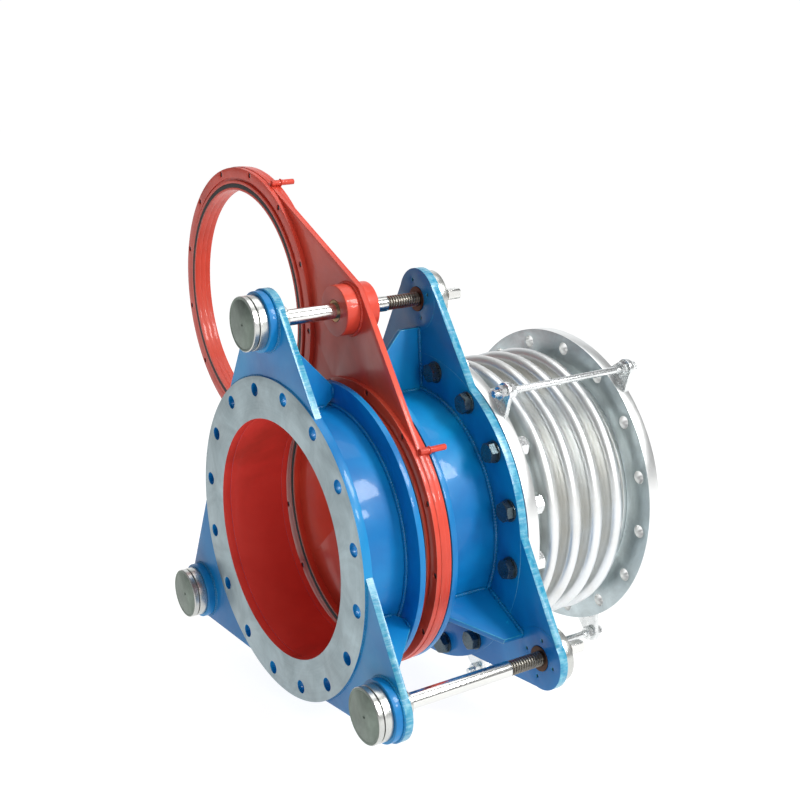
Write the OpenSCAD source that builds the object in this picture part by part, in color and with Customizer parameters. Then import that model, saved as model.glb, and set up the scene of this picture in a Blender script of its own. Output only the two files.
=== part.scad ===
// Sector-plate line blind (goggle valve) with a stainless bellows unit, DN400.
// Frame: +Z up, pipe axis along +Y, origin at the centre of the inlet flange face.

/* [Pipe ends] */
// Outside diameter of the pipe flanges
flange_od = 540; // [500:1:600]
// Bolt circle diameter of the pipe flanges
flange_pcd = 495; // [450:1:550]
// Number of bolt holes in each flange
flange_holes = 16; // [12:4:20]
// Diameter of the bolt holes in the two end flanges
flange_hole_d = 22; // [18:1:26]
// Diameter of the bolt holes where the valve and the bellows unit are bolted together
joint_hole_d = 21; // [20.5:0.5:23]
// Clear bore of the pipe
bore_d = 400; // [350:1:420]
// Wall of the rolled body tubes
tube_wall = 6; // [4:0.5:10]

/* [Valve bodies] */
// Thickness of the two eared body flanges
ear_flange_t = 15; // [12:1:24]
// Step between the machined flange face and the ears
ear_step = 2; // [0:0.5:4]
// Radius from the pipe axis to the three clamping screws
screw_circle_r = 361.1; // [340:0.1:380]
// Radius of the rounded ear tip
ear_tip_r = 52; // [48:1:60]
// Half angle where the straight ear edges leave the flange rim
ear_half_angle = 32.2; // [26:0.1:40]
// Outside diameter of the two seal flanges
seal_flange_od = 490; // [470:1:520]
// Thickness of the two seal flanges
seal_flange_t = 10.5; // [8:0.5:16]
// Front face of the inlet seal flange
seal1_y = 115.5; // [100:0.5:130]
// Front face of the rear seal flange
seal2_y = 176.5; // [160:0.5:190]
// Front face of the rear eared flange
rear_flange_y = 290; // [270:1:310]
// Thickness of the gusset plates
gusset_t = 10; // [8:1:14]

/* [Clamping screws] */
// Diameter of the plain shank
shank_d = 26; // [20:1:32]
// Diameter of the threaded end
thread_d = 24; // [18:1:30]
// Where the thread starts
thread_y = 228; // [200:1:250]
// End of the square drive
drive_end_y = 375; // [360:1:400]
// Diameter of the thrust disc and end cap
cap_d = 88; // [70:1:96]
// Front face of the end cap
cap_y = -38; // [-50:1:-30]

/* [Goggle plate] */
// Outside diameter of the ring and of the blind disc
ring_od = 490; // [470:1:500]
// Angle between the blind disc and the open ring about the pivot
swing_angle = 85.5; // [80:0.5:95]
// Clear opening of the ring
ring_id = 410; // [390:1:420]
// Thickness of the sector plate
plate_t = 10; // [8:1:14]
// Front face of the sector plate
plate_y = 155.5; // [150:0.5:165]
// Distance from the pivot to the straight plate edges
hub_edge_r = 51; // [46:1:60]
// Outside diameter of the hub
hub_d = 84; // [70:1:96]
// Number of screws in each seal ring
ring_screws = 13; // [8:1:16]

/* [Bellows unit] */
// Thickness of the bellows flanges
bellows_flange_t = 22; // [18:1:26]
// Front face of the outlet flange
outlet_y = 566; // [540:1:590]
// Middle of the first convolution
first_crest_y = 388; // [380:1:395]
// Distance between convolutions
pitch = 46; // [40:0.1:55]
// Number of convolutions
convolutions = 4; // [3:1:5]
// Outside radius over the convolutions
crest_r = 241; // [235:0.5:245]
// Outside radius of the bellows necks, which is also the foot of each valley
neck_r = 208.3; // [206:0.1:212]
// Wall of the bellows
bellows_wall = 1.6; // [1:0.1:3]
// Radius from the pipe axis to the tie rods
tie_r = 300; // [290:1:315]
// Direction of the first tie rod
tie_angle = 49.5; // [40:0.5:60]
// Diameter of the tie rods
tie_d = 12; // [10:1:16]

/* [Hidden] */
$fn = 96;
e = 0.3;
e_small = 0.05;
R = screw_circle_r;
bore_r = bore_d / 2;
tube_r = bore_r + tube_wall;
flange_r = flange_od / 2;
pcd_r = flange_pcd / 2;
hole_r = flange_hole_d / 2;
joint_hole_r = joint_hole_d / 2;
seal_r = seal_flange_od / 2;
seal1_back = seal1_y + seal_flange_t;
seal2_back = seal2_y + seal_flange_t;
rear_back = rear_flange_y + ear_flange_t;
gasket_t = 2;
bel_y = rear_back + gasket_t;
bel_back = bel_y + bellows_flange_t;
outlet_back = outlet_y + bellows_flange_t;
hole_step = 360 / flange_holes;
screw_angles = [90, -30, 210];
tie_angles = [tie_angle, tie_angle - 120, tie_angle + 120];
bush_r = 17;
cap_r = cap_d / 2;
boss_r = 49;
boss_y = -13;
disc_y = -27.5;
ring_r = ring_od / 2;
ring_bore_r = ring_id / 2;
plate_back = plate_y + plate_t;
front_zone_y = plate_y - 8.5;
rear_zone_y = plate_back + 8.5;
seal_face_front = front_zone_y - 2.5;
seal_face_rear = rear_zone_y + 2;
hub_front_y = 129.5;
hub_back_y = 190.5;
blind_dir = -90;
open_dir = blind_dir - swing_angle;
ring_screw_r = 238.5;
blind_start = 76.1;
open_start = 105.1;
plate_r = ring_r + 1;
pin_at = plate_r + 4.2;
seal_in_r = 209;
seal_out_r = 217;
nut_r = 21;
nut_disc_r = 45;
nut_disc_t = 18;
bolt_r = 10;
washer_t = 3;
washer_r = 18.5;
head_h = 12.5;
nut_h = 18;
hex_r = 30 / sqrt(3);
tie_nut_r = 21 / sqrt(3);
tie_nut_h = 11;
lug_t = 8;
lug_tip_r = 16;
arc_r = pitch / 4;
crest_c = crest_r - bellows_wall / 2 - arc_r;
valley_c = neck_r - bellows_wall / 2 + arc_r;
last_crest_y = first_crest_y + (convolutions - 1) * pitch;
blue = [0.03, 0.32, 0.68];
red = [0.72, 0.11, 0.07];
steel = [0.72, 0.73, 0.72];
bright = [0.86, 0.87, 0.88];
bronze = [0.55, 0.36, 0.16];
rubber = [0.05, 0.05, 0.05];
dark = [0.16, 0.18, 0.18];
zinc = [0.78, 0.79, 0.76];

// Cylinder along +Y starting at y0, centred on x, z.
module rod(r, y0, y1, x = 0, z = 0) {
    translate([x, y0, z]) rotate([-90, 0, 0]) cylinder(r = r, h = y1 - y0);
}

// Flat ring along +Y.
module ring(ro, ri, y0, y1, x = 0, z = 0) {
    difference() {
        rod(ro, y0, y1, x, z);
        rod(ri, y0 - 1, y1 + 1, x, z);
    }
}

// Children placed on the screw circle at angle a, seen from the inlet.
module on_circle(r, a) {
    translate([r * cos(a), 0, r * sin(a)]) children();
}

// Local X becomes the radial direction a, local Y stays the pipe axis.
module radial(a) {
    rotate([0, -a, 0]) children();
}

// Hexagon along +Y.
module hex(r, y0, y1) {
    translate([0, y0, 0]) rotate([-90, 0, 0]) cylinder(r = r, h = y1 - y0, $fn = 6);
}

// True for a flange hole so close to a gusset that no bolt head fits there.
function by_gusset(a) = min([for (g = screw_angles) abs((a - g + 540) % 360 - 180)]) < 5;

module flange_hole_set(y0, y1, r = hole_r, tapped = false) {
    for (k = [0 : flange_holes - 1]) {
        a = hole_step * (k + 0.5);
        on_circle(pcd_r, a) rod(tapped && by_gusset(a) ? bolt_r : r, y0, y1);
    }
}

// Corners of one ear, local X radial: straight edges tangent to the tip circle.
ear_base_u = flange_r * cos(ear_half_angle);
ear_base_v = flange_r * sin(ear_half_angle);
ear_gap = norm([ear_base_u - R, ear_base_v]);
ear_turn = atan2(ear_base_v, ear_base_u - R) - acos(ear_tip_r / ear_gap);
ear_tan_u = R + (ear_tip_r - 0.6) * cos(ear_turn);
ear_tan_v = (ear_tip_r - 0.6) * sin(ear_turn);
ear_in_u = ear_base_u - 0.1 * (ear_tan_u - ear_base_u);
ear_in_v = ear_base_v + 0.1 * (ear_base_v - ear_tan_v);

// Round tip pad with a web that stands half a millimetre lower on both faces.
module ear_plates(y0, t) {
    for (a = screw_angles) {
        on_circle(R, a) rod(ear_tip_r, y0, y0 + t);
        radial(a) translate([0, y0 + 0.5, 0]) rotate([-90, 0, 0]) linear_extrude(t - 1) polygon([
            [ear_in_u, -ear_in_v], [ear_tan_u, -ear_tan_v],
            [ear_tan_u, ear_tan_v], [ear_in_u, ear_in_v],
        ]);
    }
}

// Gusset with a chamfered outer corner and a weld relief at the inner corner.
module gusset(points, a) {
    radial(a) translate([0, 0, -gusset_t / 2]) linear_extrude(gusset_t) polygon(points);
}

// ---------- inlet body ----------
module inlet_flange() {
    color(blue) difference() {
        rod(flange_r, 0, ear_flange_t);
        rod(bore_r, -1, ear_flange_t + 1);
        flange_hole_set(-1, ear_flange_t + 1);
    }
}

module inlet_ears() {
    color(blue) difference() {
        ear_plates(ear_step, ear_flange_t - ear_step);
        rod(flange_r, 0, ear_flange_t + 1);
        for (a = screw_angles) on_circle(R, a) rod(bush_r, -1, ear_flange_t + 1);
    }
}

module inlet_screw_bosses() {
    color(blue) for (a = screw_angles)
        on_circle(R, a) ring(boss_r, bush_r, boss_y, ear_step);
}

module inlet_tube() {
    color(blue) ring(tube_r, bore_r, ear_flange_t, seal1_y);
}

module inlet_seal_flange() {
    color(blue) ring(seal_r, bore_r, seal1_y, seal1_back);
}

module inlet_gussets() {
    color(blue) difference() {
        for (a = screw_angles) gusset([
            [tube_r - 8, ear_flange_t], [313, ear_flange_t], [313, 48],
            [240, seal1_y], [tube_r + 14, seal1_y], [tube_r + 2, seal1_y - 14],
            [tube_r - 8, seal1_y - 14],
        ], a);
        rod(tube_r, 0, seal1_y + 1);
    }
}

module screw_bushes() {
    color(bronze) for (a = screw_angles)
        on_circle(R, a) ring(bush_r, shank_d / 2 + e_small, boss_y, ear_flange_t);
}

// ---------- clamping screws ----------
module screw(a) {
    color(bright) on_circle(R, a) {
        rod(shank_d / 2, cap_y + 5, thread_y);
        rod(thread_d / 2, thread_y, drive_end_y - 25);
        translate([0, drive_end_y - 25, 0]) rotate([-90, 45, 0])
            cylinder(r = 17 / sqrt(2), h = 25, $fn = 4);
    }
}

module thrust_disc(a) {
    color(steel) on_circle(R, a) ring(cap_r, shank_d / 2, disc_y, boss_y - e);
}

module end_cap(a) {
    color(steel) on_circle(R, a) difference() {
        union() {
            translate([0, cap_y, 0]) rotate([-90, 0, 0]) cylinder(r1 = cap_r - 1.2, r2 = cap_r, h = 1.2);
            rod(cap_r, cap_y + 1.2, disc_y - 2);
            rod(cap_r - 7, disc_y - 2, disc_y);
        }
        rod(shank_d / 2, cap_y + 5, disc_y + 1);
        rod(3, cap_y - 1, cap_y + 2);
    }
}

module thrust_collar(a) {
    color(steel) on_circle(R, a) ring(20.5, shank_d / 2, ear_flange_t + e, ear_flange_t + 22);
}

module top_screw() { screw(90); }
module top_thrust_disc() { thrust_disc(90); }
module top_end_cap() { end_cap(90); }
module top_thrust_collar() { thrust_collar(90); }
module right_screw() { screw(-30); }
module right_thrust_disc() { thrust_disc(-30); }
module right_end_cap() { end_cap(-30); }
module right_thrust_collar() { thrust_collar(-30); }
module left_screw() { screw(210); }
module left_thrust_disc() { thrust_disc(210); }
module left_end_cap() { end_cap(210); }
module left_thrust_collar() { thrust_collar(210); }

// ---------- goggle plate ----------
// Corner points of the sector: tangents from the hub to the disc and to the ring.
tangent_turn = acos(-(ring_r + 1 - hub_edge_r) / R);
right_normal = blind_dir + tangent_turn;
upper_normal = open_dir - tangent_turn + 360;
vertex_r = hub_edge_r / cos((upper_normal - right_normal) / 2);
vertex_dir = (upper_normal + right_normal) / 2;

// Web between the hub, the ring and the disc, about the pivot, drawn as x, -z.
module sector_web() {
    polygon([
        [R * cos(blind_dir), -R * sin(blind_dir)],
        [R * cos(blind_dir) + (plate_r - 0.5) * cos(right_normal),
            -R * sin(blind_dir) - (plate_r - 0.5) * sin(right_normal)],
        [vertex_r * cos(vertex_dir), -vertex_r * sin(vertex_dir)],
        [R * cos(open_dir) + (plate_r - 0.5) * cos(upper_normal),
            -R * sin(open_dir) - (plate_r - 0.5) * sin(upper_normal)],
        [R * cos(open_dir), -R * sin(open_dir)],
    ]);
}

// Children moved to the ring or disc centre.
module at_blind() {
    translate([R * cos(blind_dir), 0, R + R * sin(blind_dir)]) children();
}

module at_open() {
    translate([R * cos(open_dir), 0, R + R * sin(open_dir)]) children();
}

module sector_plate() {
    color(red) difference() {
        union() {
            translate([0, plate_y, R]) rotate([-90, 0, 0]) linear_extrude(plate_t) sector_web();
            at_blind() rod(plate_r, plate_y, plate_back);
            at_open() rod(plate_r, plate_y, plate_back);
        }
        at_open() rod(ring_bore_r, plate_y - 1, plate_back + 1);
        at_open() ring_hole_set(3.5, open_start, plate_y - 1, plate_back + 1);
        at_blind() ring_hole_set(3.5, blind_start, plate_y - 1, plate_back + 1);
        rod(hub_d / 2, plate_y - 1, plate_back + 1, 0, R);
        at_blind() stop_pin(39.5, plate_y - 1, plate_back + 1);
        at_open() stop_pin(62, plate_y - 1, plate_back + 1);
    }
}

module plate_hub() {
    color(red) ring(hub_d / 2, 18, hub_front_y, hub_back_y, 0, R);
}

module hub_bush() {
    color(bronze) ring(18 - e_small, shank_d / 2 + e_small, hub_front_y, hub_back_y, 0, R);
}

module stop_pin(a, y0, y1) {
    rod(5, y0, y1, pin_at * cos(a), pin_at * sin(a));
}

module stop_pins() {
    color(red) {
        at_blind() stop_pin(39.5, plate_y + 1, 205);
        at_open() stop_pin(62, plate_y + 1, 200);
    }
}

module ring_hole_set(r, start, y0, y1) {
    for (k = [0 : ring_screws - 1])
        on_circle(ring_screw_r, start + k * 360 / ring_screws) rod(r, y0, y1);
}

// Front ring: outer zone, groove, raised seal land with a seal groove.
module front_ring(start) {
    difference() {
        union() {
            ring(ring_r, ring_bore_r, front_zone_y, plate_y);
            ring(222, ring_bore_r, seal_face_front, front_zone_y);
        }
        ring(227, 222, front_zone_y - 3, front_zone_y + 3);
        ring(seal_out_r, seal_in_r, seal_face_front - 1, seal_face_front + 5);
        ring_hole_set(5, start, front_zone_y - 1, front_zone_y + 5.5);
        ring_hole_set(3.5, start, front_zone_y - 1, plate_y + 1);
    }
}

module rear_ring(start) {
    difference() {
        union() {
            ring(ring_r, ring_bore_r, plate_back, rear_zone_y);
            ring(222, ring_bore_r, rear_zone_y, seal_face_rear);
        }
        ring(227, 222, rear_zone_y - 3, rear_zone_y + 3);
        ring(seal_out_r, seal_in_r, seal_face_rear - 5, seal_face_rear + 1);
        ring_hole_set(3, start, plate_back - 1, plate_back + 6);
    }
}

module ring_screw_set(start) {
    for (k = [0 : ring_screws - 1])
        on_circle(ring_screw_r, start + k * 360 / ring_screws) {
            rod(4.8, front_zone_y + 2, front_zone_y + 5.5);
            rod(3, front_zone_y + 5.5, plate_back + 6);
        }
}

module open_front_ring() { color(red) at_open() front_ring(open_start); }
module open_rear_ring() { color(red) at_open() rear_ring(open_start); }
module open_ring_screws() { color(dark) at_open() ring_screw_set(open_start); }
module blind_front_ring() { color(red) at_blind() front_ring(blind_start); }
module blind_rear_ring() { color(red) at_blind() rear_ring(blind_start); }
module blind_ring_screws() { color(dark) at_blind() ring_screw_set(blind_start); }

module front_seal() {
    ring(seal_out_r, seal_in_r, seal_face_front, seal_face_front + 5);
}

module rear_seal() {
    ring(seal_out_r, seal_in_r, seal_face_rear - 5, seal_face_rear);
}

module open_front_seal() { color(rubber) at_open() front_seal(); }
module open_rear_seal() { color(rubber) at_open() rear_seal(); }
module blind_front_seal() { color(rubber) at_blind() front_seal(); }
module blind_rear_seal() { color(rubber) at_blind() rear_seal(); }

// ---------- rear body ----------
module rear_seal_flange() {
    color(blue) ring(seal_r, bore_r, seal2_y, seal2_back);
}

module rear_tube() {
    color(blue) ring(tube_r, bore_r, seal2_back, rear_flange_y);
}

module rear_ear_flange() {
    color(blue) difference() {
        union() {
            rod(flange_r, rear_flange_y, rear_back);
            ear_plates(rear_flange_y, ear_flange_t);
        }
        rod(bore_r, rear_flange_y - 1, rear_back + 1);
        flange_hole_set(rear_flange_y - 1, rear_back + 1, joint_hole_r, true);
        for (a = screw_angles) on_circle(R, a) {
            rod(nut_r, rear_flange_y - 1, rear_back + 1);
            for (k = [0 : 3]) on_circle(33, a + 18 + 90 * k) rod(3, rear_flange_y - 1, rear_back + 1);
        }
    }
}

module rear_gussets() {
    color(blue) difference() {
        for (a = screw_angles) gusset([
            [tube_r - 8, seal2_back + 14], [tube_r + 2, seal2_back + 14],
            [tube_r + 14, seal2_back], [240, seal2_back], [313, 252],
            [313, rear_flange_y], [tube_r - 8, rear_flange_y],
        ], a);
        rod(tube_r, seal2_y, rear_back);
    }
}

module screw_nuts() {
    color(bronze) for (a = screw_angles) on_circle(R, a) difference() {
        union() {
            rod(nut_r, rear_flange_y - 1.5, rear_back + nut_disc_t);
            rod(nut_r + 6, rear_back, rear_back + 5);
        }
        rod(thread_d / 2 + e_small, rear_flange_y - 3, rear_back + nut_disc_t + 1);
    }
}

module nut_flanges() {
    color(steel) for (a = screw_angles) on_circle(R, a) difference() {
        rod(nut_disc_r, rear_back, rear_back + nut_disc_t);
        rod(nut_r, rear_back - 1, rear_back + nut_disc_t + 1);
        rod(nut_r + 6, rear_back - 1, rear_back + 5);
        for (k = [0 : 3])
            on_circle(33, a + 18 + 90 * k) rod(3, rear_back - 1, rear_back + nut_disc_t + 1);
    }
}

module nut_flange_screws() {
    color(dark) for (a = screw_angles) on_circle(R, a) for (k = [0 : 3])
        on_circle(33, a + 18 + 90 * k) {
            rod(3, rear_flange_y + 2, rear_back + nut_disc_t);
            rod(5, rear_back + nut_disc_t, rear_back + nut_disc_t + 6);
        }
}

// ---------- flange joint ----------
module flange_gasket() {
    color(dark) ring(234, bore_r, rear_back, bel_y);
}

module at_bolts(headed_only = false) {
    for (k = [0 : flange_holes - 1]) {
        a = hole_step * (k + 0.5);
        if (!headed_only || !by_gusset(a)) on_circle(pcd_r, a) children();
    }
}

// Headed bolts, and studs screwed into the eared flange beside the gussets.
module flange_bolts() {
    head_y = rear_flange_y - washer_t;
    color(dark) {
        at_bolts(true) hex(hex_r, head_y - head_h, head_y);
        at_bolts(true) rod(bolt_r, head_y - 1, rear_flange_y + 1);
        at_bolts() rod(bolt_r, rear_flange_y, bel_back + washer_t + nut_h + 6);
    }
}

module head_washers() {
    color(zinc) at_bolts(true) ring(washer_r, bolt_r, rear_flange_y - washer_t, rear_flange_y);
}

module nut_washers() {
    color(zinc) at_bolts() ring(washer_r, bolt_r, bel_back, bel_back + washer_t);
}

module flange_nuts() {
    color(zinc) at_bolts() difference() {
        hex(hex_r, bel_back + washer_t, bel_back + washer_t + nut_h);
        rod(bolt_r, bel_back, bel_back + 40);
    }
}

// ---------- bellows unit ----------
module plate_flange(y0, r) {
    difference() {
        rod(flange_r, y0, y0 + bellows_flange_t);
        rod(bore_r, y0 - 1, y0 + bellows_flange_t + 1);
        flange_hole_set(y0 - 1, y0 + bellows_flange_t + 1, r);
    }
}

module lug_outline() {
    polygon([[250, -34], [250, 34], [tie_r + 9, lug_tip_r - 3.5], [tie_r + 9, 3.5 - lug_tip_r]]);
    translate([tie_r, 0]) circle(r = lug_tip_r);
}

module lugs(y0, hole) {
    difference() {
        for (a = tie_angles)
            radial(a) translate([0, y0, 0]) rotate([-90, 0, 0]) linear_extrude(lug_t) lug_outline();
        rod(flange_r, y0 - 1, y0 + lug_t + 1);
        for (a = tie_angles) on_circle(tie_r, a) rod(hole, y0 - 1, y0 + lug_t + 1);
    }
}

module bellows_inlet_flange() { color(bright) plate_flange(bel_y, joint_hole_r); }
module bellows_inlet_lugs() { color(zinc) lugs(bel_back - lug_t, tie_d / 2 + 0.5); }
module outlet_flange() { color(steel) plate_flange(outlet_y, hole_r); }
module outlet_lugs() { color(zinc) lugs(outlet_y + 11, tie_d / 2 + 0.5); }

// Half a ring of the wall in section: x is the radius, y the distance along the pipe.
module half_ring_2d(y, out) {
    c = out ? crest_c : valley_c;
    difference() {
        translate([c, y]) circle(r = arc_r + bellows_wall / 2);
        translate([c, y]) circle(r = arc_r - bellows_wall / 2);
        translate([out ? c - 40 : c, y - 20]) square([40, 40]);
    }
}

module bellows_section() {
    for (k = [0 : convolutions - 1]) {
        half_ring_2d(first_crest_y + k * pitch, true);
        for (side = [-1, 1])
            translate([valley_c, first_crest_y + k * pitch + side * arc_r - bellows_wall / 2])
                square([crest_c - valley_c, bellows_wall]);
    }
    for (k = [0 : convolutions - 2]) half_ring_2d(first_crest_y + (k + 0.5) * pitch, false);
    difference() {
        half_ring_2d(first_crest_y - pitch / 2, false);
        translate([150, first_crest_y - pitch / 2 - 20]) square([90, 20]);
    }
    difference() {
        half_ring_2d(last_crest_y + pitch / 2, false);
        translate([150, last_crest_y + pitch / 2]) square([90, 20]);
    }
    translate([neck_r - bellows_wall, bel_back])
        square([bellows_wall, first_crest_y - pitch / 2 - bel_back]);
    translate([neck_r - bellows_wall, last_crest_y + pitch / 2])
        square([bellows_wall, outlet_y - last_crest_y - pitch / 2]);
}

module bellows_convolutions() {
    color(bright) rotate([-90, 0, 0]) rotate_extrude() bellows_section();
}

module outlet_collar() {
    color(steel) ring(neck_r + 4.5, neck_r + e_small, outlet_y - 7, outlet_y);
}

module tie_rods() {
    color(zinc) for (a = tie_angles) on_circle(tie_r, a) rod(tie_d / 2, 300, 602);
}

module tie_nut(y0, bore) {
    difference() {
        hex(tie_nut_r, y0, y0 + tie_nut_h);
        rod(bore, y0 - 1, y0 + tie_nut_h + 1);
    }
}

module tie_rod_nuts() {
    color(zinc) for (a = tie_angles) on_circle(tie_r, a) {
        tie_nut(bel_back - lug_t - tie_nut_h, tie_d / 2);
        tie_nut(bel_back, tie_d / 2);
        tie_nut(outlet_y + 11 + lug_t + e, tie_d / 2);
    }
}

module outlet_inner_nuts() {
    color(zinc) for (a = tie_angles) on_circle(tie_r, a)
        tie_nut(outlet_y + 11 - tie_nut_h, tie_d / 2 + 0.1);
}

// ---------- every piece ----------
inlet_flange();
inlet_ears();
inlet_screw_bosses();
inlet_tube();
inlet_seal_flange();
inlet_gussets();
screw_bushes();
top_screw();
top_thrust_disc();
top_end_cap();
top_thrust_collar();
right_screw();
right_thrust_disc();
right_end_cap();
right_thrust_collar();
left_screw();
left_thrust_disc();
left_end_cap();
left_thrust_collar();
hub_bush();
sector_plate();
plate_hub();
stop_pins();
open_front_ring();
open_rear_ring();
open_front_seal();
open_rear_seal();
open_ring_screws();
blind_front_ring();
blind_rear_ring();
blind_front_seal();
blind_rear_seal();
blind_ring_screws();
rear_seal_flange();
rear_tube();
rear_gussets();
rear_ear_flange();
screw_nuts();
nut_flanges();
nut_flange_screws();
flange_gasket();
flange_bolts();
head_washers();
nut_washers();
flange_nuts();
bellows_inlet_flange();
bellows_inlet_lugs();
bellows_convolutions();
tie_rods();
tie_rod_nuts();
outlet_flange();
outlet_lugs();
outlet_collar();
outlet_inner_nuts();
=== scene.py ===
"""Visual model of the goggle valve with its bellows unit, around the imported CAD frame. Metres, +Z up."""

import math

import bmesh
import bpy
import numpy as np
from mathutils import Matrix, Vector, noise


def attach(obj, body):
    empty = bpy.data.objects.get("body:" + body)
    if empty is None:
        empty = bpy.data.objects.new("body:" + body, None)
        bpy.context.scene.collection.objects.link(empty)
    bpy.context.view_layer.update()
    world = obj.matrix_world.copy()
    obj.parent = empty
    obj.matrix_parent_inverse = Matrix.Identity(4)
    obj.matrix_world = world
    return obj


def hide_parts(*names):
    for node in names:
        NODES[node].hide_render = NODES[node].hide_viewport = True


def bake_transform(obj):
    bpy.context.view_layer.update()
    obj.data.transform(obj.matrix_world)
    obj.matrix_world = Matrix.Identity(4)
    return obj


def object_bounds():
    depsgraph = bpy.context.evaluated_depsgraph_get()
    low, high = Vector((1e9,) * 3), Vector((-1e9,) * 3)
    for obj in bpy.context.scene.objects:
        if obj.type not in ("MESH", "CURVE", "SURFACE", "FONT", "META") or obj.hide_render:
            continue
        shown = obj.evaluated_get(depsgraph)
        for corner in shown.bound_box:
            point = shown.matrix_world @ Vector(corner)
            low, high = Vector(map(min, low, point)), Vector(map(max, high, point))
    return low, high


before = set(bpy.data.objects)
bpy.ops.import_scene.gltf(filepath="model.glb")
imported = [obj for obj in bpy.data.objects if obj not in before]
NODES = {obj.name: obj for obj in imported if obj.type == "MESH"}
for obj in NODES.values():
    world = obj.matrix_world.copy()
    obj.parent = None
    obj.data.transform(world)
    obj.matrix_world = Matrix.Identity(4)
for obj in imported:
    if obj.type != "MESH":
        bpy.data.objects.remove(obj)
cad_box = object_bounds()
TAU = 2 * math.pi

# ---------------------------------------------------------------- sizes shared with the frame
# radii about the pipe axis, then spans along it as (front, back)
AXIS_R = 0.3611
BORE_R, TUBE_R, SEAL_R, RIM_R = 0.2, 0.206, 0.245, 0.27
BOLT_R, ROD_R = 0.2475, 0.3
NECK_R, CREST_R = 0.2083, 0.241
INLET_PLATE, INLET_SEAL = (0.0, 0.015), (0.1155, 0.126)
REAR_SEAL, REAR_PLATE = (0.1765, 0.187), (0.290, 0.305)
HUB, BUSH_BACK = (0.1295, 0.1905), 0.015
SCREW_R, THREAD_ROOT = 0.013, 0.00965
SCREW_STEP, THREAD_END = 0.2275, 0.350
AXES = {"top": 90, "right": -30, "left": 210}
OPEN_DIR = math.radians(-175.5)
OPEN_AT = Vector((AXIS_R * math.cos(OPEN_DIR), 0, AXIS_R + AXIS_R * math.sin(OPEN_DIR)))
BLIND_AT = Vector((0, 0, 0))
PIVOT = Vector((0, 0, AXIS_R))
CENTRE_PIN = 0.0002  # radius left at the middle of a solid turned part


def polar(r, a, y=0.0):
    return Vector((r * math.cos(math.radians(a)), y, r * math.sin(math.radians(a))))


# ---------------------------------------------------------------- materials
class Mat:
    """A material being wired: helpers return sockets that feed the principled shader."""

    def __init__(self, name, color, rough=0.4, metal=0.0, **sockets):
        self.m = bpy.data.materials.new(name)
        self.m.use_nodes = True
        self.t = self.m.node_tree
        self.t.nodes.clear()
        self.b = self.t.nodes.new("ShaderNodeBsdfPrincipled")
        out = self.t.nodes.new("ShaderNodeOutputMaterial")
        self.t.links.new(self.b.outputs[0], out.inputs[0])
        self.co = self.t.nodes.new("ShaderNodeTexCoord").outputs["Object"]
        self.set("Base Color", color)
        self.set("Roughness", rough)
        self.b.inputs["Metallic"].default_value = metal
        for k, v in sockets.items():
            self.b.inputs[k.replace("_", " ").title().replace("Ior", "IOR")].default_value = v
        self.m.diffuse_color = (*color, 1)

    def set(self, socket, value):
        s = self.b.inputs[socket]
        if isinstance(value, bpy.types.NodeSocket):
            self.t.links.new(value, s)
        elif isinstance(value, tuple):
            s.default_value = (*value, 1)
        else:
            s.default_value = value

    def feed(self, node, name, value):
        s = node.inputs[name]
        if isinstance(value, bpy.types.NodeSocket):
            self.t.links.new(value, s)
        elif isinstance(value, tuple) and len(s.default_value) == 4:
            s.default_value = (*value, 1)
        else:
            s.default_value = value

    def math(self, op, a, b=0.0):
        n = self.t.nodes.new("ShaderNodeMath")
        n.operation = op
        self.feed(n, 0, a)
        self.feed(n, 1, b)
        return n.outputs[0]

    def noise(self, scale, detail=3.0, rough=0.5, stretch=None, warp=0.0):
        co = self.co
        if stretch:
            m = self.t.nodes.new("ShaderNodeMapping")
            m.inputs["Scale"].default_value = stretch
            self.t.links.new(co, m.inputs[0])
            co = m.outputs[0]
        n = self.t.nodes.new("ShaderNodeTexNoise")
        self.t.links.new(co, n.inputs["Vector"])
        n.inputs["Scale"].default_value = scale
        n.inputs["Detail"].default_value = detail
        n.inputs["Roughness"].default_value = rough
        n.inputs["Distortion"].default_value = warp
        return n.outputs[0]

    def ramp(self, fac, *stops):
        n = self.t.nodes.new("ShaderNodeValToRGB")
        self.feed(n, 0, fac)
        els = n.color_ramp.elements
        while len(els) < len(stops):
            els.new(0.5)
        for e, (p, c) in zip(els, stops):
            e.position = p
            e.color = (*c, 1) if isinstance(c, tuple) else (c, c, c, 1)
        return n.outputs[0]

    def mix(self, fac, a, b):
        n = self.t.nodes.new("ShaderNodeMix")
        n.data_type = "RGBA"
        self.feed(n, 0, fac)
        self.feed(n, 6, a)
        self.feed(n, 7, b)
        return n.outputs[2]

    def radius(self):
        """Distance from the pipe axis."""
        s = self.t.nodes.new("ShaderNodeSeparateXYZ")
        self.t.links.new(self.co, s.inputs[0])
        x, z = s.outputs[0], s.outputs[2]
        return self.math("SQRT", self.math("ADD", self.math("MULTIPLY", x, x), self.math("MULTIPLY", z, z)))

    def rings(self, r, pitch):
        """Lathe marks: fine rings of that pitch with uneven depth."""
        n = self.t.nodes.new("ShaderNodeTexNoise")
        n.noise_dimensions = "1D"
        self.t.links.new(r, n.inputs["W"])
        n.inputs["Scale"].default_value = 0.5 / pitch
        n.inputs["Detail"].default_value = 4
        n.inputs["Roughness"].default_value = 0.7
        return n.outputs[0]

    def bump(self, height, strength, distance):
        """Adds to whatever bump is there already."""
        n = self.t.nodes.new("ShaderNodeBump")
        n.inputs["Strength"].default_value = strength
        n.inputs["Distance"].default_value = distance
        self.t.links.new(height, n.inputs["Height"])
        old = self.b.inputs["Normal"]
        if old.is_linked:
            self.t.links.new(old.links[0].from_socket, n.inputs["Normal"])
            self.t.links.remove(old.links[0])
        self.t.links.new(n.outputs[0], old)


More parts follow.
